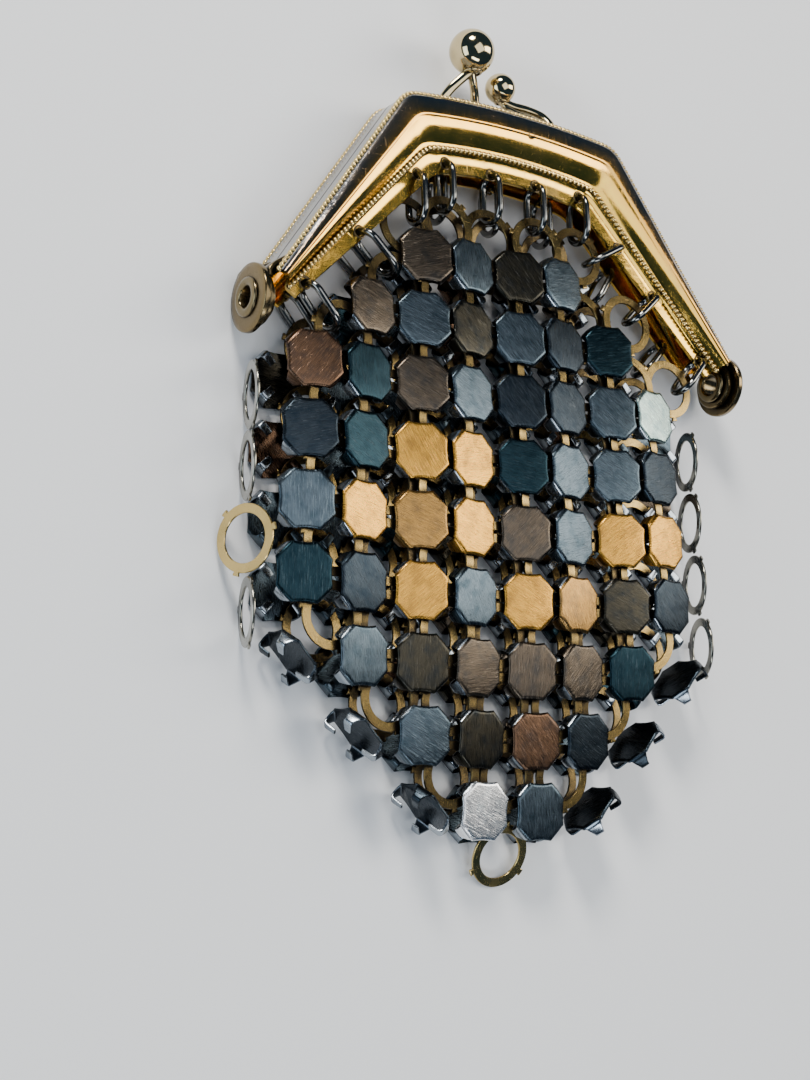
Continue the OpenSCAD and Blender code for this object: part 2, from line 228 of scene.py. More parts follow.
# ---------------------------------------------------------------- materials
class Nodes:
    """Short ways to build one procedural material on its Principled shader."""

    def __init__(self, name):
        self.mat = bpy.data.materials.new(name)
        self.mat.use_nodes = True
        self.tree = self.mat.node_tree
        self.bsdf = self.tree.nodes["Principled BSDF"]

    def new(self, kind, **values):
        node = self.tree.nodes.new(kind)
        for key, value in values.items():
            if hasattr(node, key):
                setattr(node, key, value)
            else:
                node.inputs[key.replace("_", " ")].default_value = value
        return node

    def link(self, a, b):
        self.tree.links.new(a, b)

    def coords(self, source, scale, spin=(0, 0, 0)):
        if source == "UV":
            c = self.new("ShaderNodeUVMap", uv_map="brush").outputs[0]
        else:
            c = self.new("ShaderNodeTexCoord").outputs["Object"]
        m = self.new("ShaderNodeMapping")
        m.inputs["Scale"].default_value = scale
        m.inputs["Rotation"].default_value = spin
        self.link(c, m.inputs[0])
        return m.outputs[0]

    def noise(self, coords, scale, detail=3.0, rough=0.55):
        n = self.new("ShaderNodeTexNoise", Scale=scale, Detail=detail, Roughness=rough)
        self.link(coords, n.inputs["Vector"])
        return n.outputs["Fac"]

    def ramp(self, fac, lo, hi, a, b):
        r = self.new("ShaderNodeMapRange")
        for key, value in (("From Min", lo), ("From Max", hi), ("To Min", a), ("To Max", b)):
            r.inputs[key].default_value = value
        self.link(fac, r.inputs["Value"])
        return r.outputs[0]

    def blend(self, fac, a, b):
        m = self.new("ShaderNodeMix", data_type="RGBA")
        self.link(fac, m.inputs[0])
        for socket, value in ((m.inputs[6], a), (m.inputs[7], b)):
            if isinstance(value, tuple):
                socket.default_value = (*value, 1)
            else:
                self.link(value, socket)
        return m.outputs[2]

    def math(self, op, a, b):
        m = self.new("ShaderNodeMath", operation=op)
        for socket, value in ((m.inputs[0], a), (m.inputs[1], b)):
            if isinstance(value, (int, float)):
                socket.default_value = value
            else:
                self.link(value, socket)
        return m.outputs[0]

    def bump(self, height, strength, distance):
        b = self.new("ShaderNodeBump")
        b.inputs["Strength"].default_value = strength
        b.inputs["Distance"].default_value = distance
        self.link(height, b.inputs["Height"])
        self.link(b.outputs[0], self.bsdf.inputs["Normal"])

    def cavity(self, distance):
        ao = self.new("ShaderNodeAmbientOcclusion", samples=6)
        ao.inputs["Distance"].default_value = distance
        return ao.outputs["AO"]


def polished_metal(name, base, hollow_shade, rough, wear, reach=0.0012, low=0.35):
    """Plated metal: soft unevenness, fine handling scratches, painted shade darkening its hollows.

    reach is how far a hollow looks for walls, in metres; low is how open it is when darkest.
    """
    n = Nodes(name)
    here = n.coords("Object", (1, 1, 1))
    cloud = n.noise(here, 260, 4)
    fine = n.noise(n.coords("Object", (1, 0.12, 1), (0.3, 0.2, 0.7)), 5200, 2)
    fine2 = n.noise(n.coords("Object", (0.12, 1, 1), (0.1, 0.5, 0.2)), 4300, 2)
    scratch = n.math("MAXIMUM", n.ramp(fine, 0.60, 0.74, 0, 1), n.ramp(fine2, 0.62, 0.76, 0, 1))
    tone = n.blend(n.ramp(cloud, 0.3, 0.75, 0, 1), base, tuple(c * 0.8 for c in base))
    # painted shade: ambient occlusion blends the hollows towards a dark colour and roughens them
    hollow = n.ramp(n.cavity(reach), low, 0.95, 1, 0)
    tone = n.blend(n.math("MULTIPLY", hollow, 0.92), tone, hollow_shade)
    n.link(tone, n.bsdf.inputs["Base Color"])
    n.bsdf.inputs["Metallic"].default_value = 1.0
    r = n.math("ADD", n.ramp(cloud, 0.35, 0.7, rough * 0.7, rough * 1.35),
               n.math("MULTIPLY", scratch, 0.16 * wear))
    r = n.math("ADD", r, n.math("MULTIPLY", hollow, 0.18))
    n.link(r, n.bsdf.inputs["Roughness"])
    height = n.math("ADD", n.math("MULTIPLY", cloud, 0.6), n.math("MULTIPLY", scratch, -0.12))
    n.bump(height, 0.25 * wear, 0.00006)
    return n.mat


def brushed_plate(name, base, dirt, rough, grain):
    """Stamped plate: fine brushing, crossing scratches painted lighter as highlights, stain and
    pits, darker with grain, painted shade in its hollows.
    """
    n = Nodes(name)
    brush = n.noise(n.coords("UV", (2.0, 42, 1)), 2.4, 5, 0.7)
    lines_a = n.noise(n.coords("UV", (2.4, 46, 1), (0, 0, 0.30)), 1.7, 3, 0.6)
    lines_b = n.noise(n.coords("UV", (3.0, 52, 1), (0, 0, -0.95)), 1.3, 2, 0.5)
    cloud = n.noise(n.coords("UV", (1, 1, 1)), 5.0, 5, 0.6)
    pits = n.noise(n.coords("UV", (1, 1, 1)), 62, 4, 0.7)
    lines = n.math("MAXIMUM", n.ramp(lines_a, 0.60, 0.70, 0, 1), n.ramp(lines_b, 0.63, 0.72, 0, 1))
    tone = n.blend(n.ramp(brush, 0.34, 0.66, 0, 1), tuple(c * 0.55 for c in base),
                   tuple(min(1, c * 1.35) for c in base))
    tone = n.blend(n.ramp(cloud, 0.46, 0.70, 0, 0.85), tone, dirt)
    if grain:
        tone = n.blend(n.ramp(pits, 0.50, 0.68, 0, grain), tone, tuple(c * 0.30 for c in base))
    # the crossing scratches are real wear; their lighter colour is a painted highlight
    light = tuple(min(1.0, c * 1.8 + 0.05) for c in base)
    tone = n.blend(n.math("MULTIPLY", lines, 0.5), tone, light)
    # painted shade: ambient occlusion blends the hollows towards near-black blue
    hollow = n.ramp(n.cavity(0.0020), 0.25, 0.85, 1, 0)
    tone = n.blend(n.math("MULTIPLY", hollow, 0.9), tone, (0.004, 0.008, 0.015))
    n.link(tone, n.bsdf.inputs["Base Color"])
    n.bsdf.inputs["Metallic"].default_value = 1.0
    r = n.math("ADD", n.ramp(brush, 0.3, 0.7, rough * 0.8, rough * 1.25),
               n.math("MULTIPLY", lines, -0.08))
    n.link(r, n.bsdf.inputs["Roughness"])
    height = n.math("ADD", n.math("MULTIPLY", brush, 0.6), n.math("MULTIPLY", lines, -0.5))
    height = n.math("ADD", height, n.math("MULTIPLY", pits, 0.3 + grain))
    n.bump(height, 0.4, 0.00004)
    return n.mat


def reflection_toned_frame(name):
    """The moulding: blotchy plating, painted greyish outside and warmer, brighter gold from the
    crest inwards as reflections, with painted shade in its hollows.
    """
    n = Nodes(name)
    here = n.coords("Object", (1, 1, 1))
    across = n.new("ShaderNodeSeparateXYZ")
    n.link(n.coords("UV", (1, 1, 1)), across.inputs[0])
    cloud = n.noise(here, 170, 5, 0.6)
    fine = n.noise(n.coords("Object", (1, 0.10, 1), (0.3, 0.2, 0.7)), 4200, 2)
    fine2 = n.noise(n.coords("Object", (0.10, 1, 1), (0.1, 0.5, 0.2)), 3600, 2)
    scratch = n.math("MAXIMUM", n.ramp(fine, 0.60, 0.74, 0, 1), n.ramp(fine2, 0.62, 0.76, 0, 1))
    place = n.math("ADD", across.outputs[1], n.ramp(cloud, 0.2, 0.8, -0.05, 0.05))
    # painted reflection: grey on the outer face, gold and then bright gold from the crest inwards,
    # set by place across the section
    tone = n.blend(n.ramp(place, 0.24, 0.40, 0, 1), (0.36, 0.36, 0.36), (0.72, 0.38, 0.08))
    tone = n.blend(n.ramp(place, 0.42, 0.60, 0, 1), tone, (0.90, 0.56, 0.10))
    tone = n.blend(n.ramp(cloud, 0.52, 0.78, 0, 0.5), tone, (0.30, 0.24, 0.16))
    # painted shade: ambient occlusion blends the hollows towards dark brown
    hollow = n.ramp(n.cavity(0.0016), 0.35, 0.95, 1, 0)
    tone = n.blend(n.math("MULTIPLY", hollow, 0.9), tone, (0.03, 0.022, 0.012))
    n.link(tone, n.bsdf.inputs["Base Color"])
    n.bsdf.inputs["Metallic"].default_value = 1.0
    r = n.math("ADD", n.ramp(cloud, 0.35, 0.7, 0.10, 0.22), n.math("MULTIPLY", scratch, 0.12))
    n.link(r, n.bsdf.inputs["Roughness"])
    height = n.math("ADD", n.math("MULTIPLY", cloud, 1.2), n.math("MULTIPLY", scratch, -0.1))
    n.bump(height, 0.22, 0.00012)
    return n.mat


# dark blue-black that the hollows of plated parts are painted towards, as painted shade
HOLLOW_SHADE = (0.012, 0.016, 0.024)
M_FRAME = reflection_toned_frame("frame_gold")
M_EARS = polished_metal("ear_gold", (0.20, 0.145, 0.07), (0.006, 0.009, 0.012),
                        0.2, 1.0, 0.003, 0.45)
M_ROPE = polished_metal("frame_rope", (0.88, 0.64, 0.26), (0.02, 0.016, 0.010), 0.2, 0.4)
M_CLASP = polished_metal("clasp_gold", (0.62, 0.50, 0.28), (0.04, 0.03, 0.014), 0.08, 0.35)
M_RIVET = polished_metal("rivet_steel", (0.22, 0.17, 0.09), (0.008, 0.010, 0.014),
                         0.2, 0.8, 0.002)
M_WIRE = polished_metal("ring_steel", (0.20, 0.20, 0.19), HOLLOW_SHADE, 0.14, 0.6, 0.002)
# the rings inside the mail get a darker copy of the loose rings' gold and far-reaching hollow
# darkening: painted shade
M_LINK_SHADED = polished_metal("link_gold", (0.42, 0.29, 0.10), (0.003, 0.005, 0.010),
                        0.2, 1.0, 0.007, 0.72)
M_LOOSE = polished_metal("loose_link_gold", (0.60, 0.44, 0.17), (0.03, 0.026, 0.014),
                         0.24, 0.9)
M_DULL = polished_metal("dull_link_steel", (0.26, 0.25, 0.21), HOLLOW_SHADE, 0.2, 0.9, 0.003)
M_EDGE = polished_metal("plate_edge", (0.30, 0.34, 0.38), (0.004, 0.008, 0.015),
                        0.22, 0.8, 0.003, 0.45)

# base colour and stain of each plate finish
TINTS = {
    "teal": ((0.012, 0.027, 0.035), (0.005, 0.014, 0.020)),
    "slate": ((0.072, 0.096, 0.115), (0.024, 0.042, 0.056)),
    "dark": ((0.024, 0.032, 0.040), (0.009, 0.016, 0.024)),
    "brown": ((0.088, 0.070, 0.052), (0.036, 0.036, 0.036)),
    "olive": ((0.042, 0.038, 0.028), (0.014, 0.018, 0.021)),
    "copper": ((0.115, 0.066, 0.040), (0.042, 0.032, 0.029)),
    "gold": ((0.560, 0.290, 0.050), (0.260, 0.135, 0.034)),
    "amber": ((0.330, 0.185, 0.055), (0.150, 0.095, 0.045)),
    "pale": ((0.330, 0.430, 0.400), (0.140, 0.220, 0.230)),
    "white": ((0.960, 0.970, 1.000), (0.820, 0.870, 0.900)),
}
M_PLATES = {k: brushed_plate("plate_" + k, a, b, 0.27, 0.5 if k in ("gold", "amber") else 0.0)
            for k, (a, b) in TINTS.items()}
TINT_ORDER = list(TINTS)
PLATE_MATERIALS = [M_PLATES[k] for k in TINT_ORDER] + [M_EDGE]
EDGE = len(TINT_ORDER)

# finish of each front plate, row by row from the top, left to right
FRONT_TINTS = [
    "brown slate olive slate",
    "brown slate olive slate dark teal",
    "copper teal brown slate dark dark slate pale",
    "dark teal gold gold teal slate slate dark",
    "slate gold amber gold brown slate gold gold",
    "teal dark gold slate gold amber olive dark",
    "slate olive brown brown brown teal",
    "slate olive copper dark",
    "white slate",
]


def settle(obj, node, body, share=None):
    """Seats a piece on its body; given a share, it is only baked in place and not seated on a
    body.
    """
    if share is None:
        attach(obj, body)
    else:
        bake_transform(obj)
    if node:
        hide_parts(node)


# ---------------------------------------------------------------- frame halves
def mix(a, b, t):
    return (a[0] + (b[0] - a[0]) * t, a[1] + (b[1] - a[1]) * t)


def frame_station(k, t):
    """Outer edge, inner edge and flange edge of the moulding; k 0 top bar, 1 leg."""
    if k == 0:
        rise = ARCH * (1 - t * t)
        return ((t * TOP_W / 2, FRAME_H + rise),
                (t * (TOP_W / 2 - 0.55 * FACE_W), FRAME_H - FACE_W + rise),
                (t * (TOP_W / 2 - 0.8 * FACE_W), FRAME_H - FACE_W - 3 + rise), CREST_TOP)
    return (mix((TOP_W / 2, FRAME_H), (LEG_SPAN / 2, 3), t),
            mix((TOP_W / 2 - 0.55 * FACE_W, FRAME_H - FACE_W), (LEG_SPAN / 2 - 2, 1.2), t),
            mix((TOP_W / 2 - 0.8 * FACE_W, FRAME_H - FACE_W - 3), (LEG_SPAN / 2 - 3.4, 0.3), t),
            CREST_TOP + (CREST_EAR - CREST_TOP) * t)


BAR_STEPS, LEG_STEPS = 60, 112   # stations over half the top bar and down a leg
ROUNDING = 8                     # stations over which a corner is rounded


def frame_stations():
    """Stations from the left ear over the top to the right ear, corners gently rounded."""
    bar = [(0, j / BAR_STEPS) for j in range(BAR_STEPS + 1)]
    leg = [(1, j / LEG_STEPS) for j in range(1, LEG_STEPS + 1)]
    right = [frame_station(*k) for k in bar + leg]
    flat = [[*o, *i, *f, h] for o, i, f, h in right]
    left = [[-o[0], o[1], -i[0], i[1], -f[0], f[1], h] for o, i, f, h in right[1:]]
    rows = np.array(left[::-1] + flat)
    n = ROUNDING
    kernel = np.exp(-0.5 * (np.arange(-n, n + 1) / (n / 2)) ** 2)
    kernel /= kernel.sum()
    padded = np.concatenate([2 * rows[:1] - rows[n:0:-1], rows,
                             2 * rows[-1:] - rows[-2:-n - 2:-1]])
    return np.array([np.convolve(padded[:, c], kernel, "valid") for c in range(7)]).T


STATIONS = frame_stations()


SHEET = 0.55                     # wall of the pressed sheet


def frame_profile(w, f, H):
    """Section of the moulding as (distance from the outer edge, height over the parting plane).

    w is the width of the face, f of the flange, H the crest; the shown side first, then the back.
    """
    k = min(1.0, w / 5)
    t = SHEET
    out = [(0.0, 0.15), (0.0, 0.30 * H), (0.0, 0.52 * H), (-0.02 * k, 0.66 * H),
           (-0.12 * k, 0.71 * H), (0.12 * k, 0.76 * H), (0.22 * k, 0.84 * H),
           (0.30 * k, 0.895 * H), (0.50 * k, 0.925 * H), (0.85 * k, 0.955 * H)]
    out += [(0.20 * w, 0.978 * H), (0.27 * w, 0.992 * H), (0.335 * w, 0.998 * H),
            (0.385 * w, 1.0 * H), (0.415 * w, 0.992 * H), (0.435 * w, 0.968 * H),
            (0.47 * w, 0.958 * H), (0.53 * w, 0.945 * H), (0.60 * w, 0.912 * H),
            (0.67 * w, 0.862 * H), (0.74 * w, 0.80 * H), (0.80 * w, 0.735 * H),
            (0.85 * w, 0.682 * H), (0.885 * w, 0.655 * H), (w - 0.30 * k, 0.64 * H),
            (w + 0.02 * k, 0.63 * H), (w + 0.22 * k, 0.60 * H), (w + 0.34 * k, 0.555 * H),
            (w + 0.50 * k, 0.525 * H), (w + f * 0.6, 0.52 * H), (w + f - 0.12, 0.52 * H),
            (w + f, 0.52 * H - 0.12)]
    back = [(w + f, 0.52 * H - t), (w + 0.1, 0.52 * H - t), (0.86 * w, 0.60 * H - t),
            (0.72 * w, 0.76 * H - t), (0.5 * w, 0.93 * H - t), (0.3 * w, 0.96 * H - t),
            (0.8 * k, 0.86 * H - t), (0.55 * k, 0.6 * H), (0.55 * k, 0.15)]
    return out, back


def frame_point(row, s, z):
    """A point of one station, s from its outer edge over the face and on along the flange."""
    o, i, f = row[0:2], row[2:4], row[4:6]
    w = np.linalg.norm(i - o)
    if s <= w:
        p = o + (i - o) / w * s
    else:
        p = i + (f - i) / np.linalg.norm(f - i) * (s - w)
    return (p[0], p[1], z)


def moulding():
    """The pressed shell; its texture place runs across from 0 outside to 1 at the flange."""
    rings = []
    for row in STATIONS:
        w = np.linalg.norm(row[2:4] - row[0:2])
        f = np.linalg.norm(row[4:6] - row[2:4])
        shown, back = frame_profile(w, f, row[6])
        rings.append([frame_point(row, s, z) for s, z in shown + back])
    n = len(rings[0])
    verts = [p for ring in rings for p in ring]
    uv = [(i * 0.02, min(1.0, j / len(shown))) for i in range(len(rings)) for j in range(n)]
    return verts, strip_faces(len(rings), n), uv


def ball(rx, ry, rz, n=8, m=6):
    """An ellipsoid with n points round it and m steps from pole to pole."""
    verts = [(0, 0, rz)]
    for i in range(1, m):
        a = math.pi * i / m
        for j in range(n):
            b = TAU * j / n
            verts.append((rx * math.sin(a) * math.cos(b), ry * math.sin(a) * math.sin(b),
                          rz * math.cos(a)))
    verts.append((0, 0, -rz))
    faces = [(0, 1 + j, 1 + (j + 1) % n) for j in range(n)]
    for i in range(m - 2):
        for j in range(n):
            a, b = 1 + i * n + j, 1 + i * n + (j + 1) % n
            faces.append((a, a + n, b + n, b))
    last = len(verts) - 1
    faces += [(last, last - n + (j + 1) % n, last - n + j) for j in range(n)]
    return verts, faces


GRAIN_TWIST = 38                 # slant of a grain to its row, degrees


def rope_row(piece, place, pitch, size):
    """A milgrain row: small slanted grains at an even pitch along the moulding."""
    pts = np.array([place(row) for row in STATIONS])
    seg = np.linalg.norm(np.diff(pts, axis=0), axis=1)
    length = np.concatenate([[0], np.cumsum(seg)])
    n = int(length[-1] / pitch)
    grain = ball(size * 0.80, size * 0.56, size * 0.66)
    for k in range(n + 1):
        s = length[-1] * k / n
        p = [np.interp(s, length, pts[:, c]) for c in range(3)]
        q = [np.interp(min(s + 0.3, length[-1]), length, pts[:, c]) for c in range(3)]
        o = [np.interp(max(s - 0.3, 0), length, pts[:, c]) for c in range(3)]
        angle = math.degrees(math.atan2(q[1] - o[1], q[0] - o[0]))
        piece.add(*grain, matrix=move(*p) @ rot("z", angle + GRAIN_TWIST))


def rolled(r, wide, high, n):
    """Closed profile of a rolled rim about the radius r."""
    turns = [TAU * k / n for k in range(n)]
    return [(r + wide * math.cos(a), high * math.sin(a)) for a in turns]


def hole_collars(piece, holes):
    """A small rolled collar round each ring hole of the flange."""
    for hole in holes:
        v, f = lathe(rolled(0.80, 0.16, 0.10, 8), 24)
        piece.add(v, f, matrix=move(*hole))


def leg_hole(s, t):
    """Place of a ring hole in the leg flange; s is its side, t how far down the leg."""
    st = frame_station(1, t)
    q = mix(st[1], st[2], 0.62)
    return (s * q[0], q[1])


NECK_Z = 1.9                     # the necks' height over the parting plane


def ear_neck(front):
    """The bent neck from the side wall of a leg out to its round ear."""
    if front:
        path = [(37.4, 5.1), (38.3, 4.5), (39.1, 3.9), (39.66, 3.2), (39.7, 2.4)]
        width, thick = 2.3, 0.75
    else:
        path = [(37.4, 5.3), (38.4, 4.8), (39.6, 4.5), (40.6, 4.0), (40.9, 3.2), (40.9, 2.6)]
        width, thick = 2.7, 0.8
    pts = [(x, y, NECK_Z) for x, y in smooth_curve(path, 5)]
    return sweep(pts, soft_box(width, thick), lambda t: np.cross((0, 0, 1), t))


def ear_disc(x0, x1, r, bore):
    """A round ear about the hinge axis from x0 to x1, its rim softened by b."""
    b = 0.16
    prof = [(bore, x0), (bore, x1), (r - 0.9, x1), (r - 0.7, x1 - 0.02), (r - b, x1 - 0.06),
            (r - 0.04, x1 - b), (r, x1 - b - 0.08), (r, x0 + b), (r - b, x0)]
    return lathe(prof, 72, axis="x")


def eyelet_mesh():
    """The hollow rivet: bore, shank and a rolled flange at each end."""
    x0, x1 = EAR_X - 0.45, EAR_X + 2.9
    roll = 0.30
    wide = EYELET_R - EYELET_BORE
    bends = [math.pi * k / 6 for k in range(7)]
    outer = [(EYELET_R - wide * math.cos(a), x1 - roll + roll * math.sin(a)) for a in bends]
    inner = [(EYELET_R + wide * math.cos(a), x0 + roll - roll * math.sin(a)) for a in bends]
    shank = [(FLANGE_R, x1 - 0.42), (EYELET_R, x1 - 0.45), (EYELET_R, x0 + 0.45),
             (FLANGE_R, x0 + 0.42)]
    return lathe([(EYELET_BORE, x0 + roll)] + outer + shank + inner, 64, axis="x")


HOLE_R, HOLE_Y = 0.78, 23.75
FRONT_TOP_HOLES = [(-16.1, 21.2)] + [(FRONT_TOP_MID + (c - 4) * FRONT_PITCH_TOP, HOLE_Y)
                                     for c in range(3, 7)]
REAR_TOP_HOLES = [(j * REAR_PITCH + REAR_TOP_MID, HOLE_Y) for j in (-1, 0, 1)]
# side, place along the leg, turn of each leg ring in degrees
FRONT_LEGS = [(-1, 0.54, 46), (1, 0.26, 60), (1, 0.54, 46)]
REAR_LEGS = [(-1, 0.54, 46), (-1, 0.93, 38), (1, 0.34, 32), (1, 0.78, 42)]
EAR_LEGS = [(-1, 0.92, 39), (1, 0.92, 39)]


def flange_z(t):
    """Height of the flange at a place along a leg."""
    return 0.52 * (CREST_TOP + (CREST_EAR - CREST_TOP) * t)


def cut_holes(obj, holes, flip):
    """Drills the ring holes through the flange of a finished frame half."""
    cutter = Piece()
    sign = -1 if flip else 1
    low, high, axis = -1.2, 1.0, 0.0001
    for x, y, z in holes:
        v, f = lathe([(axis, low), (HOLE_R, low), (HOLE_R, high), (axis, high)], 20)
        cutter.add(v, f, matrix=AT_HINGE @ move(x, y, sign * (z - 0.3)))
    tool = cutter.make("cutter", [M_FRAME])
    mod = obj.modifiers.new("holes", "BOOLEAN")
    mod.operation, mod.solver, mod.object = "DIFFERENCE", "EXACT", tool
    bpy.context.view_layer.update()
    done = bpy.data.meshes.new_from_object(
        obj.evaluated_get(bpy.context.evaluated_depsgraph_get()))
    obj.modifiers.clear()
    obj.data = done
    bpy.data.objects.remove(tool)


def outer_row(row):
    """Place of the milgrain along the outer edge."""
    return np.array(frame_point(row, 0.0, 0.80 * row[6]))


def inner_row(row):
    """Place of the milgrain along the inner edge."""
    w = np.linalg.norm(row[2:4] - row[0:2])
    return np.array(frame_point(row, w - 0.12, 0.66 * row[6]))


def dimple(piece):
    """The small punched dimple on the crest of the top bar."""
    v, f = lathe([(0.02, -0.18), (0.30, -0.10), (0.42, 0.02), (0.52, 0.06), (0.62, 0.0),
                  (0.60, -0.3), (0.02, -0.3)], 28)
    y = FRAME_H + ARCH - 0.40 * FACE_W
    # drawn in the darker rivet material: painted shade in the punched hollow
    piece.add(v, f, mat=1, matrix=move(2.6, y, CREST_TOP - 0.03))


def frame_half(name, node, body, flip):
    """One half of the frame: drilled moulding, milgrain rows, collars, necks and ears."""
    place = AT_HINGE @ (FLIP_Z if flip else np.eye(4))
    shell, rope, trim = Piece(), Piece(), Piece()
    v, f, uv = moulding()
    shell.add(v, f, matrix=place, uv=uv)
    top, legs = (REAR_TOP_HOLES, REAR_LEGS) if flip else (FRONT_TOP_HOLES, FRONT_LEGS + EAR_LEGS)
    holes = [(x, y, flange_z(0)) for x, y in top]
    holes += [(*leg_hole(s, t), flange_z(t)) for s, t, _ in legs]
    shell_obj = shell.make(name + "_moulding", [M_FRAME])
    cut_holes(shell_obj, holes, flip)
    rope_row(rope, outer_row, 0.72, 0.60)
    rope_row(rope, inner_row, 0.78, 0.70)
    if not flip:
        dimple(trim)
    hole_collars(trim, holes)
    for side in (np.eye(4), FLIP_X):
        v, f = ear_neck(not flip)
        trim.add(v, f, matrix=side)
        if flip:
            v, f = ear_disc(EAR_X + 1.4, EAR_X + 2.4, 4.5, 2.05)
        else:
            v, f = ear_disc(EAR_X + 0.25, EAR_X + 1.15, 3.4, 2.06)
        trim.add(v, f, matrix=side)
    for part in (rope, trim):
        part.verts = [q @ place[:3, :3].T + place[:3, 3] for q in part.verts]
        if flip:
            part.faces = [tuple(reversed(q)) for q in part.faces]
    settle(shell_obj, node, body)
    settle(rope.make(name + "_milgrain", [M_ROPE]), None, body)
    settle(trim.make(name + "_ears", [M_EARS, M_RIVET]), None, body)


frame_half("rear_half", "rear_frame", "rear_half", True)
frame_half("front_half", "front_frame", "front_half", False)

for side, mirror in (("left", FLIP_X), ("right", np.eye(4))):
    rivet = Piece()
    v, f = eyelet_mesh()
    rivet.add(v, f, matrix=AT_HINGE @ mirror)
    o = rivet.make(side + "_hollow_rivet", [M_RIVET])
    settle(o, side + "_eyelet", "rear_half")

# ---------------------------------------------------------------- kiss lock
BIG_C, BIG_R = (-5.2, 42.2, 0.9), 3.25
SMALL_C, SMALL_R = (1.1, 38.9, -0.9), 2.2
FOOT_Y = FRAME_H + ARCH + 0.3    # where the straps stand on the top bar


def clasp_ball(name, node, body, c, r):
    """A ball with a small rolled collar where its strap enters."""
    piece = Piece()
    v, f = ball(r, r, r, 64, 40)
    piece.add(v, f, matrix=AT_HINGE @ move(*c) @ rot("x", 90))
    v, f = lathe(rolled(r * 0.36, 0.20, 0.17, 12), 40)
    piece.add(v, f, matrix=AT_HINGE @ move(c[0], c[1] - r * 0.95, c[2]) @ rot("x", 90))
    settle(piece.make(name, [M_CLASP]), node, body)


def clasp_post(name, node, body, runs):
    """A bent strap made of runs, each a list of points with a width and a thickness."""
    piece = Piece()
    for pts, width, thick in runs:
        path = smooth_curve(pts, 8)
        v, f = sweep(path, soft_box(width, thick, 3, 3.0), lambda t: (0.0, 0.35, 1.0))
        piece.add(v, f, matrix=AT_HINGE)
    settle(piece.make(name, [M_CLASP]), node, body)


clasp_ball("large_clasp_ball", "rear_clasp_ball", "rear_half", BIG_C, BIG_R)
clasp_ball("small_clasp_ball", "front_clasp_ball", "front_half", SMALL_C, SMALL_R)
clasp_post("rear_clasp_strap", "rear_clasp_post", "rear_half", [
    ([(-9.4, FOOT_Y - 0.6, -1.9), (-9.2, FOOT_Y + 0.9, -1.6), (-8.0, FOOT_Y + 3.0, -0.7),
      (-6.4, FOOT_Y + 4.8, 0.2), (-5.3, FOOT_Y + 5.9, 0.75)], 1.35, 0.95),
    ([(-3.3, FOOT_Y - 0.5, -1.9), (-3.2, FOOT_Y + 0.9, -1.6), (-3.7, FOOT_Y + 3.0, -0.7),
      (-4.6, FOOT_Y + 4.6, 0.2), (-5.2, FOOT_Y + 5.7, 0.7)], 1.35, 0.95)])
clasp_post("front_clasp_strap", "front_clasp_post", "front_half", [
    ([(7.9, FOOT_Y - 0.7, 2.1), (8.0, FOOT_Y + 0.5, 1.7), (7.2, FOOT_Y + 1.9, 0.9),
      (5.2, FOOT_Y + 2.7, 0.1), (2.9, FOOT_Y + 2.95, -0.35), (1.2, FOOT_Y + 3.5, -0.8)],
     1.25, 0.9),
    ([(5.9, FOOT_Y - 0.6, 2.1), (5.8, FOOT_Y + 0.3, 1.7), (4.9, FOOT_Y + 1.0, 1.0),
      (3.2, FOOT_Y + 1.5, 0.3), (1.7, FOOT_Y + 2.3, -0.3), (1.1, FOOT_Y + 3.3, -0.8)],
     0.9, 0.8)])

# ---------------------------------------------------------------- jump rings
JUMP_R, JUMP_E, JUMP_L = 0.5, 1.9, 3.06    # wire, radius of the ends, straight sides
JUMP_D, LEG_D = 1.9, 2.34        # distance of top and leg rings from the parting plane
BEND = 18                        # points on one round end


def jump_mesh():
    """A closed oval of round wire."""
    turns = [math.pi * k / (BEND - 1) for k in range(BEND)]
    half = [(JUMP_L / 2 + JUMP_E * math.sin(a), -JUMP_E * math.cos(a)) for a in turns]
    oval = [(0, y, z) for y, z in half] + [(0, -y, -z) for y, z in half]
    return sweep(oval, circle(JUMP_R, 14), lambda t: (1, 0, 0), loop=True)


JUMP_V, JUMP_F = jump_mesh()


def ring_set(name, node, rings, body, share=None):
    """Ovals hung from holes; each ring is its hole, its height and its turn about the hole."""
    piece = Piece()
    hang = move(0, -JUMP_E - JUMP_L / 2, 0)
    for p, z, turn in rings:
        matrix = AT_HINGE @ move(p[0], p[1], z) @ rot("z", turn) @ hang
        piece.add(JUMP_V, JUMP_F, matrix=matrix)
    settle(piece.make(name, [M_WIRE]), node, body, share)


ring_set("front_top_jump_rings", "front_jump_rings_top",
         [(p, JUMP_D, 0) for p in FRONT_TOP_HOLES], "front_half")
ring_set("front_leg_jump_rings", "front_jump_rings_legs",
         [(leg_hole(s, t), LEG_D, -s * a) for s, t, a in FRONT_LEGS], "front_half")
ring_set("front_ear_jump_rings", "front_jump_rings_ears",
         [(leg_hole(s, t), LEG_D, -s * a) for s, t, a in EAR_LEGS], None, 0.5)
ring_set("rear_top_jump_rings", "rear_jump_rings_top",
         [(p, -JUMP_D, 0) for p in REAR_TOP_HOLES], "rear_half")
ring_set("rear_leg_jump_rings", "rear_jump_rings_legs",
         [(leg_hole(s, t), -LEG_D - 0.12, -s * a) for s, t, a in REAR_LEGS], "rear_half")


# ---------------------------------------------------------------- mail: plate and link
SCOOP = 0.16                     # hollow of a plate's long sides
SIDE_POINTS = 7


def plate_outline(inset):
    """Octagon whose four long sides are slightly hollow."""
    w = PLATE_W / 2 - inset
    c = FLAT_CUT - inset * 0.5
    pts = []
    for q in range(4):
        quarter = rot("z", -90 * q)[:2, :2]
        for k in range(SIDE_POINTS):
            u = -1 + 2 * k / (SIDE_POINTS - 1)
            pts.append(quarter @ np.array((u * (w - c), w - SCOOP * (1 - u * u))))
    return pts[::-1]


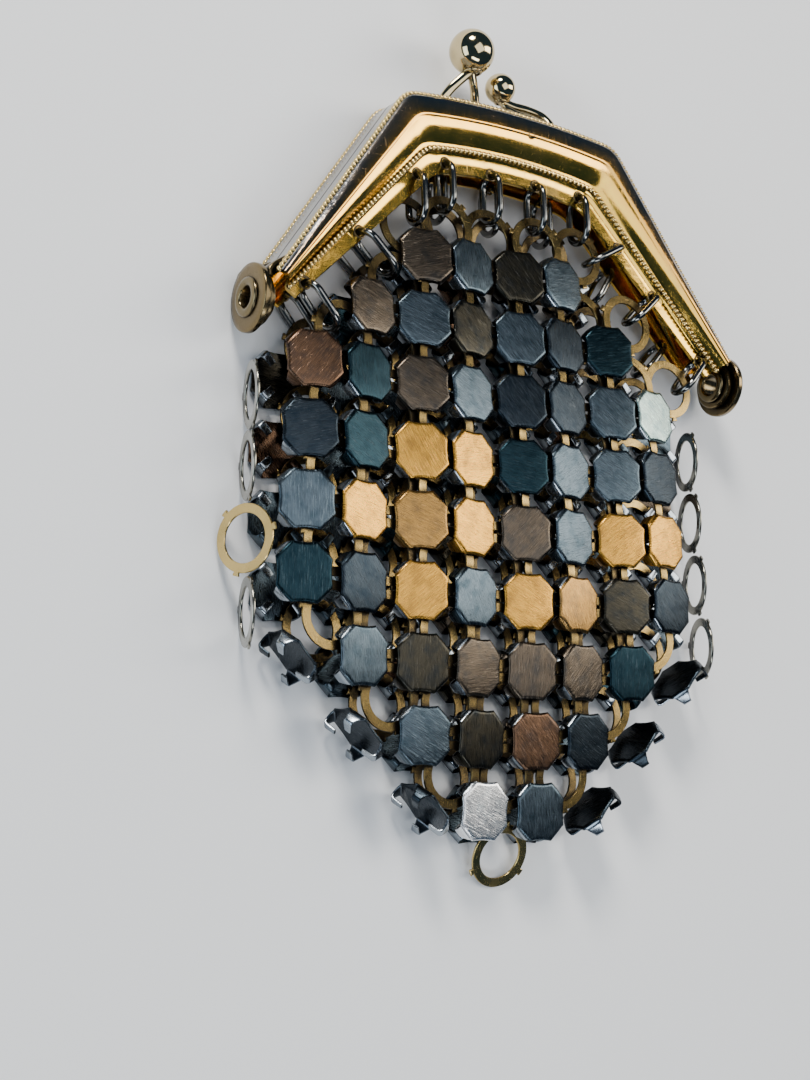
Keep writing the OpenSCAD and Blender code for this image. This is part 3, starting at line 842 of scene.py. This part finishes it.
def plate_mesh():
    """The sheet of one plate as rings of points, the top face first."""
    layers = [(0.50, 0.0), (0.34, -0.012), (0.18, -0.06), (0.06, -0.14), (0.0, -0.24),
              (0.0, -0.40), (0.06, -PLATE_T)]
    verts = [(x, y, z) for inset, z in layers for x, y in plate_outline(inset)]
    return np.array(verts), strip_faces(len(layers), 4 * SIDE_POINTS)


ROOT_W, NECK_W, TIP_W = 2.72, 1.30, 0.95   # a prong's width at its root, bend and tip


def prong_mesh():
    """One corner prong: rolls down off the corner, tapers, then turns in under the rings."""
    zb = -PLATE_T - HOOK_GAP - HOOK_T / 2
    r = HOOK_R - HOOK_T / 2
    path = smooth_curve([(r - 0.80, 0, -0.20), (r - 0.42, 0, -0.23), (r - 0.13, 0, -0.50),
                         (r - 0.01, 0, -1.0), (r, 0, zb + 0.42), (r - 0.13, 0, zb + 0.12),
                         (r - 0.50, 0, zb), (HOOK_END, 0, zb)], 3)
    root_z, bend_z = -0.25, zb + 0.4
    scales = []
    for x, _, z in path:
        if z > bend_z:
            t = min(1.0, max(0.0, (root_z - z) / (root_z - bend_z)))
            width = ROOT_W - (ROOT_W - NECK_W) * t ** 0.8
        else:
            width = NECK_W - (NECK_W - TIP_W) * max(0.0, (r - x) / (r - HOOK_END))
        scales.append((width, 1.0))
    v, f = sweep(path, soft_box(1.0, 0.32, 2, 5.0), lambda t: np.cross(t, (0, 1, 0)),
                 scales=scales)
    return np.array(v), f


PLATE_V, PLATE_F = plate_mesh()
PRONG_V, PRONG_F = prong_mesh()
BRUSHINGS = (20, 35, 55, 90, 140, 160)     # usual directions of the brushing, degrees


def add_plate(piece, matrix, tint, rng):
    """One plate with its four prongs; rng turns its brushing and dishes it a little."""
    spin = rot("z", rng.choice(BRUSHINGS) + rng.uniform(-12, 12))[:2, :2]
    off = np.array([rng.uniform(0, 9), rng.uniform(0, 9)])
    v = PLATE_V.copy()
    dish = rng.uniform(-0.05, 0.03)
    v[:, 2] += dish * (1 - (v[:, 0] ** 2 + v[:, 1] ** 2) / 15)
    askew = matrix @ rot("z", rng.uniform(-1.6, 1.6))
    uv = PLATE_V[:, :2] @ spin.T * UV_SCALE + off
    piece.add(v, PLATE_F, mat=tint, matrix=askew, uv=uv)
    uv = PRONG_V[:, [0, 2]] * UV_SCALE + off
    for a in (45, 135, 225, 315):
        mat = tint if rng.random() < 0.35 else EDGE
        piece.add(PRONG_V, PRONG_F, mat=mat, matrix=askew @ rot("z", a), uv=uv)


def link_mesh():
    """A flat ring, its edges softened by b."""
    b = 0.07
    t = LINK_T / 2
    prof = [(LINK_RI + b, -t), (LINK_RO - b, -t), (LINK_RO - 0.02, -t + b), (LINK_RO, 0.0),
            (LINK_RO - 0.02, t - b), (LINK_RO - b, t), (LINK_RI + b, t), (LINK_RI + 0.01, t - b),
            (LINK_RI, 0.0), (LINK_RI + 0.01, -t + b)]
    v, f = lathe(prof, 56)
    return np.array(v), f


def nub_mesh():
    """A small square tab with a slight waist on the rim of a link ring."""
    path = [(LINK_RO - 0.25, 0, 0), (LINK_RO + 0.05, 0, 0), (LINK_RO + 0.22, 0, 0),
            (LINK_RO + 0.38, 0, 0), (LINK_RO + 0.45, 0, 0)]
    scales = [(0.86, 1), (0.80, 1), (0.95, 1), (1.0, 1), (0.86, 0.8)]
    v, f = sweep(path, soft_box(0.98, LINK_T - 0.02, 2, 5.0), lambda t: (0, 0, 1),
                 scales=scales)
    return np.array(v), f


LINK_V, LINK_F = link_mesh()
NUB_V, NUB_F = nub_mesh()


def add_link(piece, matrix, mat=0):
    """One link ring with its nubs."""
    piece.add(LINK_V, LINK_F, mat=mat, matrix=matrix)
    for a in NUB_AT:
        piece.add(NUB_V, NUB_F, mat=mat, matrix=matrix @ rot("z", a))


# ---------------------------------------------------------------- mail: where things lie
# Rows r run down from 0, columns c run right; f_ is the front mail and r_ the rear mail.
LAST = 8                         # the bottom row
MIDDLE = 4.5                     # the middle between columns 4 and 5
FRONT_Z, BULGE, FALL = 7.9, 2.2, 0.16      # top row's height, rise in the middle, fall per row
DROOP = 0.3                      # how much lower the outer columns lie
CORNER_X, CORNER_Y = 2.3, 2.6    # where a plate's corner holds its ring, from the centre


def f_x(r, c):
    middle = FRONT_TOP_MID - 2.4 * math.sin(math.pi * r / LAST) + 0.1 * r
    pitch = FRONT_PITCH_TOP + (FRONT_PITCH_LOW - FRONT_PITCH_TOP) * r / LAST
    return middle + (c - MIDDLE) * pitch


def row_y(r):
    return (4 - r) * PITCH


def f_y(r, c):
    return row_y(r) + 0.1 * (c - MIDDLE) ** 2


def f_z(r, c):
    """Height of a plate's top face: the mail bulges in the middle and falls off at the sides."""
    crown = DROOP * (abs(c - MIDDLE) / (MIDDLE - 1)) ** 3
    return FRONT_Z + BULGE * math.sin(math.pi * r / LAST) - FALL * r - crown * min(1, r / 2)


def f_turn(r, c):
    """Neighbouring plates turn opposite ways, less so towards the bottom."""
    return (1 if c % 2 == 0 else -1) * PLEAT * max(0.2, min(1, (9 - r) / 5))


def f_lean(r):
    """Lean of a row, along the slope of the bulge."""
    return -math.degrees(math.atan((f_z(r + 0.5, 4) - f_z(r - 0.5, 4)) / PITCH))


def f_at(r, c, dx, dy):
    """Height of a plate's top face at an offset from its centre."""
    return (f_z(r, c) - dx * math.tan(math.radians(f_turn(r, c)))
            + dy * math.tan(math.radians(f_lean(r))))


def has(r, c):
    return 0 <= r <= LAST and COLS[r][0] <= c <= COLS[r][1]


def link_x(r, c):
    a, b = max(r, 0), min(r + 1, LAST)
    return (f_x(a, c + 0.5) + f_x(b, c + 0.5)) / 2


def link_y(r, c):
    return (f_y(r, c + 0.5) + f_y(r + 1, c + 0.5)) / 2


def front_plate_at(r, c):
    return move(f_x(r, c), f_y(r, c), f_z(r, c)) @ rot("y", f_turn(r, c)) \
        @ rot("x", f_lean(r))


def front_link_at(r, c):
    """The ring below row r, right of column c, as high as the corners that hook on it.

    The top rings are shifted to hang in their jump rings: the first inwards, the others up.
    """
    corners = [(r, c, 1, -1), (r, c + 1, -1, -1), (r + 1, c, 1, 1), (r + 1, c + 1, -1, 1)]
    zs = [f_at(i, j, dx * CORNER_X, dy * CORNER_Y) for i, j, dx, dy in corners if has(i, j)]
    z = sum(zs) / len(zs)
    lean = (f_lean(max(r, 0)) + f_lean(min(r + 1, LAST))) / 2
    up = (-0.6 if c == 2 else 0.56) if r < 0 else 0
    over = 1.85 if r < 0 and c == 2 else 0
    return move(link_x(r, c) + over, link_y(r, c) + up, z - LINK_DROP) @ rot("x", lean)


def r_x(r, c):
    return REAR_TOP_MID - 1.8 * math.sin(math.pi * r / LAST) + (c - MIDDLE) * REAR_PITCH


def r_z(r):
    """The rear mail lies flat and rises to the frame over its first three rows."""
    return 0.18 * (3 - r) ** 2 if r < 3 else 0


def r_lean(r):
    return -math.degrees(math.atan(0.36 * (3 - r) / PITCH)) if r < 3 else 0


def rear_plate_at(r, c):
    return move(r_x(r, c), row_y(r), r_z(r)) @ rot("x", -r_lean(r)) @ FLIP_Z


def rear_link_at(r, c):
    a, b = max(r, 0), min(r + 1, LAST)
    up = 0.44 if r < 0 else 0
    x = (r_x(a, c + 0.5) + r_x(b, c + 0.5)) / 2
    return move(x, row_y(r + 0.5) + up, r_z(r + 0.5) + LINK_DROP) \
        @ rot("x", -r_lean(r + 0.5)) @ FLIP_Z


# row above, first and last column of each row of rings
BOTH = {"cd": (2, 1, 7), "de": (3, 1, 7), "ef": (4, 1, 7), "fg": (5, 1, 7), "gh": (6, 2, 6),
        "hi": (7, 3, 5)}
FRONT_LINKS = {"top": (-1, 2, 6), "ab": (0, 2, 7), "bc": (1, 1, 8), **BOTH}
REAR_LINKS = {"top": (-1, 3, 5), "ab": (0, 2, 6), "bc": (1, 1, 7), **BOTH}
# share of the front half's opening that the front rows next to it follow
FOLLOW = {"b": 0.5, "ab": 0.75, "bc": 0.25}
REAR_FINISHES = ("teal", "slate", "dark", "brown", "olive", "slate", "copper")


def row_of(r):
    return range(COLS[r][0], COLS[r][1] + 1)


rng = random.Random(20)
for r, letter in enumerate(ROWS):
    piece = Piece()
    for c, tint in zip(row_of(r), FRONT_TINTS[r].split()):
        add_plate(piece, front_plate_at(r, c), TINT_ORDER.index(tint), rng)
    o = piece.make("front_plates_row_" + letter, PLATE_MATERIALS)
    settle(o, "front_plates_" + letter,
           "front_half" if letter == "a" else "rear_half", FOLLOW.get(letter))
    piece = Piece()
    for c in row_of(r):
        tint = rng.choice(REAR_FINISHES)
        add_plate(piece, rear_plate_at(r, c), TINT_ORDER.index(tint), rng)
    o = piece.make("rear_plates_row_" + letter, PLATE_MATERIALS)
    settle(o, "rear_plates_" + letter, "rear_half")


def ring_row(face, key, body, share=None):
    """One row of link rings, each turned a little in its own plane."""
    rows, place = (FRONT_LINKS, front_link_at) if face == "front" else (REAR_LINKS, rear_link_at)
    r, first, last = rows[key]
    piece = Piece()
    for c in range(first, last + 1):
        add_link(piece, place(r, c) @ rot("z", rng.uniform(-6, 6)))
    o = piece.make(face + "_link_rings_" + key, [M_LINK_SHADED])
    settle(o, face + "_links_" + key, body, share)


for key in FRONT_LINKS:
    ring_row("front", key, "front_half" if key == "top" else "rear_half", FOLLOW.get(key))
for key in REAR_LINKS:
    ring_row("rear", key, "rear_half")


# ---------------------------------------------------------------- sides and bottom
SIDE_ROWS, EDGE_ROWS = (2, 3, 4, 5), (6, 7, 8)
STANDING_OUT = 4                 # the row whose left ring stands out from the edge


def turned(r, s):
    """Most left rings lie turned along the bag's edge."""
    return s < 0 and r != STANDING_OUT


def side_link_at(r, s):
    """A ring on edge beside the mail; s is -1 on the left and 1 on the right."""
    c = 0 if s < 0 else 8
    rear = (r_x(r, c + 0.5) + r_x(r + 1, c + 0.5)) / 2
    out = 1.8 if turned(r, s) else 1.9
    x = s * 0.5 * (abs(link_x(r, c)) + abs(rear)) + s * out
    tilt = 72 if turned(r, s) else s * 68
    return move(x, link_y(r, c) - 0.6, 4.55) @ rot("y", tilt) @ rot("z", 90)


def side_plate_at(r, s):
    """A plate on edge along the slanted lower side, its prongs outwards."""
    c = COLS[r][0] if s < 0 else COLS[r][1]
    x = s * (max(s * f_x(r, c), s * r_x(r, c)) + 7.9)
    return move(x, row_y(r) + 0.9, 4.4) @ rot("z", s * -41) @ rot("y", s * -86)


for s, side in ((-1, "left"), (1, "right")):
    piece = Piece()
    for r in SIDE_ROWS:
        dull = 0 if s < 0 and r == STANDING_OUT else 1
        add_link(piece, side_link_at(r, s), mat=dull)
    o = piece.make("side_link_rings_" + side, [M_LOOSE, M_DULL])
    settle(o, "side_links_" + side, "rear_half")
    piece = Piece()
    for r in EDGE_ROWS:
        add_plate(piece, side_plate_at(r, s), TINT_ORDER.index("dark"), rng)
    o = piece.make("side_plates_on_edge_" + side, PLATE_MATERIALS)
    settle(o, "side_plates_" + side, "rear_half")

piece = Piece()
x = (link_x(LAST, 4) + r_x(LAST, MIDDLE)) / 2
add_link(piece, move(x, row_y(8.5) - 0.9, 1.9) @ rot("x", 23) @ rot("z", 48))
settle(piece.make("bottom_link_ring", [M_LOOSE]), "bottom_link", "bottom_ring")


# ---------------------------------------------------------------- floor, light, camera
FLOOR_HALF = 6.0                 # metres
PALE = (0.93, 0.94, 0.95, 1)


def floor():
    """A matt pale floor; a faint glow keeps it pale beyond the reach of the lamps."""
    n = Nodes("floor")
    cloud = n.noise(n.coords("Object", (1, 1, 1)), 14, 3)
    n.link(n.blend(cloud, (0.86, 0.87, 0.88), (0.90, 0.905, 0.91)), n.bsdf.inputs["Base Color"])
    n.bsdf.inputs["Roughness"].default_value = 1.0
    n.bsdf.inputs["Specular IOR Level"].default_value = 0.0
    far = n.new("ShaderNodeVectorMath", operation="LENGTH")
    n.link(n.coords("Object", (1, 1, 1)), far.inputs[0])
    n.link(n.ramp(far.outputs["Value"], 0.16, 0.90, 0.0, 0.66), n.bsdf.inputs["Emission Strength"])
    n.bsdf.inputs["Emission Color"].default_value = PALE
    mesh = bpy.data.meshes.new("floor")
    e = FLOOR_HALF
    mesh.from_pydata([(-e, -e, 0), (e, -e, 0), (e, e, 0), (-e, e, 0)], [], [(0, 1, 2, 3)])
    mesh.materials.append(n.mat)
    o = bpy.data.objects.new("floor", mesh)
    o.location = (0, 0, -0.0001)
    bpy.context.scene.collection.objects.link(o)


def area(name, where, size, power, colour):
    """A soft lamp that looks at the purse."""
    light = bpy.data.lights.new(name, "AREA")
    light.shape, light.size, light.size_y = "RECTANGLE", size[0], size[1]
    light.energy, light.color = power, colour
    o = bpy.data.objects.new(name, light)
    bpy.context.scene.collection.objects.link(o)
    o.location = where
    away = Vector(where) - Vector((0, 0.01, 0.005))
    o.rotation_euler = away.to_track_quat("Z", "Y").to_euler()


def world():
    """Pale where it is seen, deep blue where the polished metal mirrors it."""
    w = bpy.data.worlds.new("studio")
    bpy.context.scene.world = w
    w.use_nodes = True
    t = w.node_tree
    back = t.nodes["Background"]
    pale = t.nodes.new("ShaderNodeBackground")
    pale.inputs[0].default_value = PALE
    pale.inputs[1].default_value = 1.0
    back.inputs[0].default_value = (0.05, 0.10, 0.17, 1)
    back.inputs[1].default_value = 0.5
    ray = t.nodes.new("ShaderNodeLightPath")
    both = t.nodes.new("ShaderNodeMixShader")
    t.links.new(ray.outputs["Is Camera Ray"], both.inputs[0])
    t.links.new(back.outputs[0], both.inputs[1])
    t.links.new(pale.outputs[0], both.inputs[2])
    t.links.new(both.outputs[0], t.nodes["World Output"].inputs[0])


def camera():
    """Looks at the front from its lower left."""
    a, e, roll = math.radians(-35), math.radians(-10.94), math.radians(-1.25)
    back = np.array([math.sin(a) * math.cos(e), math.sin(e), math.cos(a) * math.cos(e)])
    right = np.array([math.cos(a), 0, -math.sin(a)])
    up = np.cross(back, right)
    r = math.cos(roll) * right + math.sin(roll) * up
    u = -math.sin(roll) * right + math.cos(roll) * up
    across, rise, away = -14.1, -26.87, 253.71      # from the middle of the hinge axis, mm
    place = r * across + u * rise + back * away + np.array([0, HINGE_Y, MID_Z])
    cam = bpy.data.cameras.new("camera")
    cam.sensor_fit, cam.sensor_width, cam.lens = "AUTO", 36, 60.9
    cam.clip_start = 0.005
    o = bpy.data.objects.new("camera", cam)
    m = np.eye(4)
    m[:3, 0], m[:3, 1], m[:3, 2], m[:3, 3] = r, u, back, place * MM
    o.matrix_world = Matrix(m.tolist())
    bpy.context.scene.collection.objects.link(o)
    bpy.context.scene.camera = o


floor()
world()
area("key", (-0.22, 0.50, 0.34), (0.16, 0.16), 4.2, (1.0, 0.96, 0.90))
area("side", (-0.60, -0.10, 0.22), (0.5, 0.25), 1.6, (0.75, 0.88, 1.0))
area("right", (0.55, 0.15, 0.50), (0.25, 0.5), 3.0, (1.0, 0.95, 0.86))
area("low", (-0.05, -0.55, 0.40), (0.5, 0.12), 1.8, (0.90, 0.95, 1.0))
area("top", (0.05, 0.05, 1.0), (0.7, 0.7), 3.5, (0.97, 0.98, 1.0))
camera()
